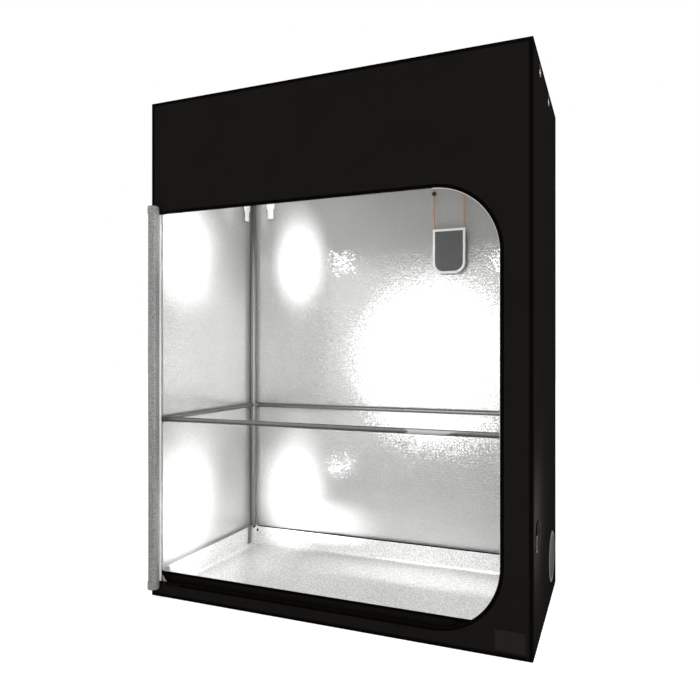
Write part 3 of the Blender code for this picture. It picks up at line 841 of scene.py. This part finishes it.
def makeDoorRoll():
    # a spiral of cloth, finer in its outer turns, that starts from the jamb with a short flap
    look = {"radius": 0.0161, "pitch": 0.00075, "turns": 18.6, "ply": 0.0005, "low": 0.031, "high": 1.2465,
            "outer": 2.0, "rows": 54, "outerSteps": 56, "innerSteps": 26, "flapSteps": 3, "first": 62}
    axisAt = Vector((*rollAxis, 0))
    hinge = Vector((jamb + 0.0004, frontY - 0.0012, 0))
    first = math.radians(look["first"])
    outer, fine, coarse = look["outer"], look["outerSteps"], look["innerSteps"]
    turns = [step / fine for step in range(int(outer * fine))]
    turns += [outer + step / coarse for step in range(int((look["turns"] - outer) * coarse))]
    stations = [None] * look["flapSteps"] + turns
    piece = grid("doorRoll", len(stations) - 1, look["rows"])

    def roll(turn, z):
        angle = first - 2 * math.pi * turn
        facing = Vector((math.cos(angle), math.sin(angle), 0))
        radius = look["radius"] - look["pitch"] * turn
        soft = noise.noise(Vector((facing.x * 0.8, facing.y * 0.8, z * 3.4)))
        crease = noise.noise(Vector((facing.x * 2.1, facing.y * 2.1, z * 11.0)))
        radius *= 1 + 0.022 * soft + 0.010 * crease
        sway = Vector((0.0004 * math.sin(z * 5.1), 0.0003 * math.sin(z * 6.3 + 1), 0))
        return axisAt + sway + facing * radius

    def place(co):
        index = round((co.x + 0.5) * (len(stations) - 1))
        share = co.y + 0.5
        turn = stations[index]
        z = look["low"] + (look["high"] - look["low"]) * share
        if turn is None:
            at = hinge.lerp(roll(0, z), index / look["flapSteps"])
            turn = 0
        else:
            at = roll(turn, z)
        side = 1 if share > 0.5 else -1
        at.z = z + 0.0016 * math.sin(turn * 2.3) * side * max(0, abs(share - 0.5) * 4 - 1)
        return at

    bend(piece, place)
    modify(piece, "SOLIDIFY", thickness=look["ply"], offset=0)
    finish(piece, "rolled", "rolled_door", ["door_roll"], 60)


def makeTie(word, low):
    look = {"radius": 0.0172, "thick": 0.0010, "tall": 0.0225}
    path = arc(0, 0, look["radius"], 0, 360, 56)[:-1]
    band = sweep(f"doorTie{word}", path, (look["thick"], look["tall"], 0.0004, 3),
                 shift(*rollAxis, low + look["tall"] / 2), True)
    knob = lathe("tieToggle", [(0, -0.010), (0.0014, -0.0098), (0.0021, -0.0088), (0.0021, 0.0088),
                               (0.0014, 0.0098), (0, 0.010)],
                 shift(rollAxis[0] + look["radius"] + 0.0022, rollAxis[1] - 0.006,
                                     low + look["tall"] / 2), 16)
    piece = join(f"doorTie{word}", band, knob)
    finish(piece, "rolled", "rolled_door", [f"door_tie_{word.lower()}"])


for word, low in {"Upper": 1.2240, "Lower": 0.0308}.items():
    makeTie(word, low)
makeDoorRoll()
print("stage: rolled door")


# Steel frame

def makeTube(node, name):
    # a smooth tube in place of a coarse one, with eased ends and, on poles, a joint sleeve
    look = {"ease": 0.0008, "sleeve": (0.735, 0.853), "proud": 0.0006, "spigot": 0.030}
    low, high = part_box(node)
    size = high - low
    along = max(range(3), key=lambda axis: size[axis])
    radius = min(size) / 2
    length = size[along]
    start = (low + high) / 2
    start[along] = low[along]
    turn = stand(start, *((axisY, axisZ), (axisZ, axisX), (axisX, axisY))[along])
    ease = look["ease"]
    profile = [(radius - ease, 0), (radius, ease)]
    if node.startswith("pole"):
        foot, top = (height - low.z for height in look["sleeve"])
        profile += [(radius, foot - ease), (radius + look["proud"], foot), (radius + look["proud"], top),
                    (radius, top + ease)]
    if node.startswith("middle_bar") and node.endswith("_left") and along == 0:
        shoulder = length - look["spigot"]
        profile += [(radius, shoulder - ease), (radius - ease, shoulder), (radius * 0.85, shoulder),
                    (radius * 0.85, length), (0, length)]
    else:
        profile += [(radius, length - ease), (radius - ease, length), (0, length)]
    piece = lathe(name, [(0, 0)] + profile, turn, 40)
    # poles take the zinc, bars its darker copy: painted shade
    finish(piece, "steel" if node.startswith("pole") else "barSteel", "tent", [node])


def camel(node):
    words = node.split("_")
    return words[0] + "".join(word.title() for word in words[1:])


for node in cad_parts:
    if node.startswith("pole_") or "_bar_" in node and not node.startswith("hanging"):
        makeTube(node, camel(node) + "Tube")
for node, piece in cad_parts.items():
    if node.startswith(("corner_", "middle_collar_", "hanging_")):
        piece.data.materials.clear()
        coat(piece, "steel")
print("stage: steel frame")


# Right wall: vent, duct port, eyelets

def makeVent():
    look = {"rim": 0.0115, "bulge": 0.0014, "rings": 14, "thick": 0.0005}
    place = onRight("vent", -0.0012)
    shares = [step / look["rings"] for step in range(look["rings"] + 1)]
    profile = [(ventRadius * share, look["bulge"] * (1 - share ** 2)) for share in shares]
    net = lathe("ventNet", profile, place, 64)
    modify(net, "SOLIDIFY", thickness=look["thick"], offset=0)
    path = arc(*wallSpots["vent"], ventRadius, 0, 360, 96)[:-1]
    rim = sweep("ventRim", path, (look["rim"], 0.0016, 0.0007, 3), onSide(rightX + 0.0008), True)
    finish(rim, "rim", "tent")
    finish(net, "net", "tent", ["vent_mesh"])


def makePort():
    look = {"ring": 0.0281, "thick": 0.0047, "proud": 0.0062, "pleats": 20}
    place = onRight("port")

    def pleated(co, amount):
        angle = math.atan2(co.y, co.x)
        return 1 + amount * math.sin(look["pleats"] * angle + 2.0 * math.sin(3 * angle))

    cuff = added("portCuff", bpy.ops.mesh.primitive_torus_add, major_segments=208, minor_segments=16,
                 major_radius=look["ring"], minor_radius=look["thick"])
    bend(cuff, lambda co: Vector((co.x * pleated(co, 0.012), co.y * pleated(co, 0.012),
                                  (co.z * 0.62 + look["proud"] / 2 + 0.0001) * pleated(co, 0.10))))
    settle(cuff, place)
    profile = [(0.0232, 0.004), (0.0238, 0.001), (0.0248, -0.004), (0.0252, -0.012), (0.0257, -0.022),
               (0.0255, -0.034), (0.0250, -0.046)]
    sleeve = lathe("portSleeve", profile, Matrix.Identity(4), 208)
    bend(sleeve, lambda co: Vector((co.x * pleated(co, 0.022), co.y * pleated(co, 0.022), co.z)))
    settle(sleeve, place)
    modify(sleeve, "SOLIDIFY", thickness=0.0009, offset=-1)
    finish(sleeve, "black", "tent")
    finish(cuff, "black", "tent", ["duct_sleeve"], 60)


def makeCord(name, points, radius, word, body, node):
    curve = bpy.data.curves.new(name, "CURVE")
    curve.dimensions = "3D"
    curve.bevel_depth = radius
    curve.bevel_resolution = 3
    curve.use_fill_caps = True
    line = curve.splines.new("POLY")
    line.points.add(len(points) - 1)
    for target, point in zip(line.points, points):
        target.co = (*point, 1)
    line.use_smooth = True
    piece = link(name, curve)
    coat(piece, word)
    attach(piece, body)
    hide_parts(node)
    return piece


def makeSleeveCord():
    # leaves the cuff's front side and hangs beside it, close to the wall
    look = {"x": 0.5995, "y": -0.23315, "z": 0.307, "radius": 0.0015, "lead": 0.003, "bend": 0.0065,
            "drop": 0.028, "knot": 0.0032}
    bendY, bendZ = look["y"] - look["lead"], look["z"] - look["bend"]
    points = [(look["x"], look["y"], look["z"])]
    points += [(look["x"], y, z) for y, z in arc(bendY, bendZ, look["bend"], 90, 180, 10)]
    hang, end = bendY - look["bend"], bendZ - look["drop"]
    points += [(look["x"], hang, bendZ - look["drop"] * step / 10) for step in range(1, 11)]
    cord = makeCord("sleeveCord", points, look["radius"], "olive", "tent", "sleeve_drawcord")
    bead = [(0, 0)] + [(radius, height + look["knot"]) for height, radius in
                       arc(0, 0, look["knot"], 165, 15, 10)] + [(0, 2 * look["knot"])]
    knot = lathe("cordKnot", bead, shift(look["x"], hang, end - 2 * look["knot"] + 0.0004), 24)
    bend(knot, lambda co: co + Vector((0, 0.0004 * math.cos(co.z * 2600), 0)))
    finish(knot, "olive", "tent", ["drawcord_knot"], 60)


def makeEyelet(word):
    look = {"outer": 0.0108, "bore": 0.0052}
    y, z = wallSpots["eyelet" + word]
    profile = [(look["bore"], -0.0022), (look["bore"], 0.0006), (look["bore"] + 0.0008, 0.0015),
               (look["bore"] + 0.0024, 0.0018), (look["outer"] - 0.001, 0.0014), (look["outer"], 0.0003),
               (0.0064, 0.0002), (0.0062, -0.0018), (0.0088, -0.0019), (0.0086, -0.0024)]
    ring = lathe(f"eyelet{word}", profile, onRight("eyelet" + word), 40, True)
    tab = block("tab", (rightX + 0.0001, y - 0.006, z + 0.0125), (rightX + 0.0011, y + 0.006, z + 0.0245))
    softenEdges(tab, 0.0004, 2)
    tab.name = f"eyeletTab{word}"
    finish(ring, "metal", "tent", [f"eyelet_{word.lower()}"])
    finish(tab, "greyTab", "tent")


makeVent()
makePort()
makeSleeveCord()
for word in ("Front", "Back"):
    makeEyelet(word)
print("stage: right wall fittings")


def makePatch():
    low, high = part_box("front_patch")
    piece = block("frontPatch", low, high)
    pick(piece, "FACE", lambda place, normal: normal.y < -0.9)
    # a plain border, then the sunk line of stitches
    for thick, depth in ((0.0022, 0.0), (0.0008, -0.0003), (0.0008, 0.0003)):
        bpy.ops.mesh.inset(thickness=thick, depth=depth)
    leaveEdit()
    softenEdges(piece, 0.0014, 3, lambda place, along: abs(along.y) > 0.9)
    finish(piece, "patch", "tent", ["front_patch"], 12)


makePatch()


# Lamp straps and buckles

def makeStrap(word, body, plane, centre, length):
    # webbing looped over a top bar: a teardrop round the bar and two plies below it
    look = {"width": 0.025, "ply": 0.0015, "bar": 0.008, "pinch": 0.034, "open": 28}
    radius = look["bar"] + 0.0003 + look["ply"] / 2
    offset = look["ply"] / 2 + 0.0001
    bottom = topBarZ - length
    loop = arc(centre, topBarZ, radius, -look["open"], 180 + look["open"], 28)
    startU, startZ = (radius * turn(math.radians(look["open"])) for turn in (math.cos, math.sin))
    side = []
    for step in range(1, 9):
        share = step / 9
        side.append((startU + (offset - startU) * eased(share), startZ + (look["pinch"] - startZ) * share))
    right = [(centre + u, topBarZ - z) for u, z in reversed(side)]
    left = [(centre - u, topBarZ - z) for u, z in side]
    foot = [bottom + (topBarZ - look["pinch"] - bottom) * step / 12 for step in range(13)]
    path = ([(centre + offset, z) for z in foot] + right + loop + left
            + [(centre - offset, z) for z in reversed(foot)])
    piece = sweep(f"{word}Strap", path, (look["ply"], look["width"], 0.0005, 3), plane)
    finish(piece, "white", body, [f"lamp_strap_{word}"], 40)


def makeBuckle(word, body, place):
    # funnel-shaped buckle: wide at the top, narrow where the tail leaves it, drawn facing out of its plane
    look = {"top": 0.0174, "foot": 0.0140, "tall": 0.026, "thick": 0.0070, "slot": (0.0132, 0.0022)}
    deep = look["thick"] / 2
    piece = block(f"{word}Buckle", (-look["top"], 0, -deep), (look["top"], look["tall"], deep))
    pick(piece, "EDGE", lambda at, along: abs(along.y) > 0.9)
    bpy.ops.mesh.subdivide(number_cuts=3)
    leaveEdit()

    def funnel(co):
        share = co.y / look["tall"]
        ease = clamp(share / 0.5)
        width = look["foot"] + (look["top"] - look["foot"]) * ease
        return Vector((co.x / look["top"] * width, co.y, co.z * (0.86 + 0.14 * ease)))

    bend(piece, funnel)
    slotHalf, slotDeep = look["slot"]
    cut(piece, block("slotTool", (-slotHalf, -0.01, -slotDeep), (slotHalf, 0.04, slotDeep)))
    modify(piece, "BEVEL", width=0.0009, segments=2, limit_method="ANGLE", angle_limit=math.radians(40))
    modify(piece, "TRIANGULATE", min_vertices=5)
    applyAll(piece)
    pin = lathe("pin", [(0, 0.0006), (0.0012, 0.0005), (0.0017, 0), (0.0017, -0.0006), (0, -0.0006)],
                shift(0, 0.0115, deep - 0.0001), 20)
    coat(piece, "whitePlastic")
    coat(pin, "greyPlastic")
    piece = join(f"{word}Buckle", piece, pin)
    settle(piece, place)
    finish(piece, None, body, [f"strap_buckle_{word}"])


def makeStraps():
    look = {"sideX": -0.5882, "sideY": 0.25475, "sideLong": 0.261,
            "rearX": -0.509, "rearY": 0.30335, "rearLong": 0.249}
    makeStrap("side", "side_strap", onFront(look["sideY"]), look["sideX"], look["sideLong"])
    makeStrap("rear", "rear_strap", onSide(look["rearX"]), look["rearY"], look["rearLong"])
    for word, x, y, across in (("side", look["sideX"], look["sideY"], axisY),
                               ("rear", look["rearX"], look["rearY"], axisX)):
        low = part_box(f"strap_buckle_{word}")[0].z
        makeBuckle(word, f"{word}_buckle", stand(Vector((x, y, low)), across, axisZ))


makeStraps()
print("stage: lamp straps")


# Pouch on its cords

def makePouch():
    look = {"x": 0.2308, "y": 0.29305, "top": 1.2255, "wide": 0.1187, "tall": 0.1603, "round": 0.040,
            "deep": 0.0034, "band": 0.0082, "bandThick": 0.0009, "barY": 0.30335, "cordRadius": 0.0020,
            "cordTurn": 0.0103, "cordTail": 0.016, "cordFoot": 1.2258,
            "cordPlaces": {"Left": 0.17565, "Right": 0.28595}}
    middle, y, top, deep, band, barY = (look[word] for word in ("x", "y", "top", "deep", "band", "barY"))
    half = look["wide"] / 2
    bottom = top - look["tall"]

    def outline(inset, height):
        radius = look["round"] - inset
        return ([(middle + half - inset, height), (middle - half + inset, height)]
                + arc(middle - half + look["round"], bottom + look["round"], radius, 180, 270, 12)
                + arc(middle + half - look["round"], bottom + look["round"], radius, 270, 360, 12))

    bag = block("pouchBag", (middle - half + 0.001, y - deep / 2, bottom + 0.001),
                (middle + half - 0.001, y + deep / 2, top - 0.0012))
    softenEdges(bag, look["round"] - 0.001, 12,
                lambda place, along: abs(along.y) > 0.9 and place.z < top - 0.05)
    pick(bag, "FACE", lambda place, normal: normal.z > 0.9)
    bpy.ops.mesh.delete(type="FACE")
    leaveEdit()
    for thick, depth in ((0.008, 0.0), (0.009, 0.0007), (0.012, 0.0006)):
        pick(bag, "FACE", lambda place, normal: abs(normal.y) > 0.98 and abs(place.x - middle) < 0.02
             and bottom + 0.03 < place.z < top - 0.03)
        bpy.ops.mesh.inset(thickness=thick, depth=depth, use_individual=True)
        leaveEdit()
    modify(bag, "SOLIDIFY", thickness=0.0006, offset=-1)
    finish(bag, "pouch", "hanging_pouch", ["pouch"], 60)

    flat = (band, look["bandThick"], 0.0004, 2)
    path = outline(band / 2, top - band / 2)
    offset = deep / 2 + look["bandThick"] / 2
    near = sweep("near", path, flat, onFront(y - offset), True)
    far = sweep("far", path, flat, onFront(y + offset), True)
    rim = outline(0.0003, top - 0.0004)
    edge = sweep("edge", rim[1:] + rim[:1], (0.0010, deep + 2 * look["bandThick"], 0.0004, 2),
                 onFront(y))
    binding = join("pouchBinding", near, far, edge)
    finish(binding, "white", "hanging_pouch", (), 40)

    for word, x in look["cordPlaces"].items():
        points = [(x, barY + look["cordTurn"], topBarZ - look["cordTail"])]
        points += [(x, *point) for point in arc(barY, topBarZ, look["cordTurn"], 0, 180, 14)]
        points += [(x, y, topBarZ + (look["cordFoot"] - topBarZ) * step / 24) for step in range(1, 25)]
        cord = makeCord(f"pouchCord{word}", points, look["cordRadius"], "tan",
                        "hanging_pouch", f"pouch_cord_{word.lower()}")


def makeCordLock():
    low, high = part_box("pouch_cord_lock")
    middle = (low + high) / 2
    tall = high.z - low.z
    profile = [(0.0023, 0), (0.0052, 0.0003), (0.0077, 0.0028), (0.0084, 0.0055), (0.0084, tall - 0.0050),
               (0.0074, tall - 0.0022), (0.0050, tall - 0.0002), (0.0023, tall)]
    body = lathe("cordLock", profile, shift(middle.x, middle.y, low.z), 32, True)
    finish(body, "blackPlastic", "cord_lock", ["pouch_cord_lock"])


makePouch()
makeCordLock()
print("stage: pouch")


# Floor tray

def makeTray():
    look = {"top": (0.5838, 0.2838), "low": 0.0024, "high": 0.0775, "corner": 0.0225, "cornerShare": 0.72,
            "fillet": 0.017, "ply": 0.0010, "lap": 0.0090}
    x, y = middleX, middleY
    footX, footY = trayFoot
    topX, topY = look["top"]
    low, high = look["low"], look["high"]
    cornerCut = look["corner"] * look["cornerShare"]
    piece = block("trayTub", (x - footX, y - footY, low), (x + footX, y + footY, high))
    pick(piece, "FACE", lambda place, normal: normal.z > 0.9)
    bpy.ops.transform.resize(value=(topX / footX, topY / footY, 1))
    bpy.ops.mesh.delete(type="FACE")
    leaveEdit()
    softenEdges(piece, cornerCut, 2, lambda place, along: abs(along.z) > 0.5)
    softenEdges(piece, look["fillet"], 3,
                lambda place, along: place.z < low + 1e-4 and abs(along.z) < 0.1)
    pick(piece, "EDGE", lambda place, along: abs(along.z) < 0.1)
    bpy.ops.mesh.subdivide(number_cuts=1)
    leaveEdit()
    coat(piece, "black", "floorFilm")
    modify(piece, "SOLIDIFY", thickness=look["ply"], offset=-1, material_offset=1)
    finish(piece, None, "tray", ["floor_tray"], 30)

    def ring(out):
        ringX, ringY = topX + out, topY + out
        points = []
        for signX, signY, flip in ((1, 1, True), (-1, 1, False), (-1, -1, True), (1, -1, False)):
            one = (x + signX * ringX, y + signY * (ringY - cornerCut))
            two = (x + signX * (ringX - cornerCut), y + signY * ringY)
            points += [one, two] if flip else [two, one]
        return points

    hemAt = shift(0, 0, high - look["lap"] / 2)
    lap = sweep("trayHem", ring(0.0007), (0.0010, look["lap"], 0.0004, 2), hemAt, True)
    fold = sweep("fold", ring(-0.0002), (0.0020, 0.0009, 0.0004, 3),
                 shift(0, 0, high + 0.0002), True)
    # a dark strip of trim inside the back rim: painted shade of the gap between the rim and the back wall
    path = [(x - topX + look["corner"], y + topY - 0.0012),
            (x + topX - look["corner"], y + topY - 0.0012)]
    tape = sweep("tape", path, (0.0010, 0.0042, 0.0004, 2),
                 shift(0, 0, high - 0.0008))
    for part, word in ((lap, "trim"), (fold, "floorFilm"), (tape, "trim")):
        coat(part, word)
    hem = join("trayHem", lap, fold, tape)
    finish(hem, None, "tray")
    return piece, hem


def makeTrayCorners():
    # at each corner: the pleat inside, the ear folded onto the long wall outside, its tape, and an eyelet
    look = {"flare": 0.0113, "base": 0.0024, "rise": 0.0751, "low": 0.017, "high": 0.0785, "inset": 0.0022,
            "ply": 0.0007, "tape": 0.0022, "eyelet": (0.562, 0.061)}
    ear = [(trayFoot[0], 0.0665), (trayFoot[0], 0.0360), (0.5520, 0.0360)]
    cornerFrame = shift(middleX, middleY, 0)

    def wall(z):
        out = look["flare"] * (z - look["base"]) / look["rise"]
        return trayFoot[0] + out, trayFoot[1] + out

    def foldPlace(co):
        share, z = co.x + 0.5, look["low"] + (look["high"] - look["low"]) * (co.y + 0.5)
        wallX, wallY = wall(z)
        lean = 0.012 * (1 - z / look["high"])
        one = Vector((wallX - look["inset"], wallY - 0.044 - lean, z))
        two = Vector((wallX - look["inset"], wallY - 0.0166 - lean, z))
        crease = 0.0012 * noise.noise(Vector((share * 3.1, z * 60, 4.0))) * math.sin(math.pi * share)
        return one.lerp(two, share) + Vector((crease - 0.0008 * math.sin(math.pi * share), 0, 0))

    fold = grid("trayFolds", 8, 16)
    bend(fold, foldPlace)
    modify(fold, "SOLIDIFY", thickness=look["ply"], offset=0)
    applyAll(fold)

    mesh = bpy.data.meshes.new("trayEars")
    mesh.from_pydata([(x, wall(z)[1] + 0.0010, z) for x, z in ear], [], [(0, 1, 2)])
    flap = link("trayEars", mesh)
    modify(flap, "SOLIDIFY", thickness=look["ply"], offset=0)
    applyAll(flap)

    path = [(ear[0][0], ear[0][1] + 0.0012), (ear[2][0] - 0.0008, ear[2][1]), (ear[1][0], ear[1][1])]
    tape = sweep("trayTape", path, (look["tape"], 0.0012, 0.0004, 2), onFront(0))
    bend(tape, lambda co: Vector((co.x, co.y + wall(co.z)[1] + 0.0017, co.z)))

    eyeletX, eyeletZ = look["eyelet"]
    place = stand(Vector((eyeletX, wall(eyeletZ)[1] - 0.0018, eyeletZ)), axisX, axisZ)
    eyelet = lathe("trayEyelets", [(0.0010, 0.0002), (0.0050, 0.0002), (0.0052, 0.0009), (0.0045, 0.0015),
                                   (0.0014, 0.0012)], place, 24, True)
    made = []
    # the ears take the white lining-edge finish, brighter than their silver film: painted light in their
    # shade
    # the pleats take the dark copy of the film: painted shade
    for name, first, word in (("trayFolds", fold, "foldFilm"), ("trayEars", flap, "edge"),
                              ("trayTape", tape, "trim"), ("trayEyelets", eyelet, "zipPlastic")):
        copies = [first]
        for signX, signY in ((-1, 1), (-1, -1), (1, -1)):
            copy = first.copy()
            copy.data = first.data.copy()
            bpy.context.scene.collection.objects.link(copy)
            bend(copy, lambda co: Vector((co.x * signX, co.y * signY, co.z)))
            copies.append(copy)
        piece = join(name, *copies)
        settle(piece, cornerFrame)
        weld(piece)
        made.append(finish(piece, word, "tray", (), 40))
    return made


tub, hem = makeTray()
corners = makeTrayCorners()
[hem] + corners
print("stage: floor tray")

print("stage: ready to finish")
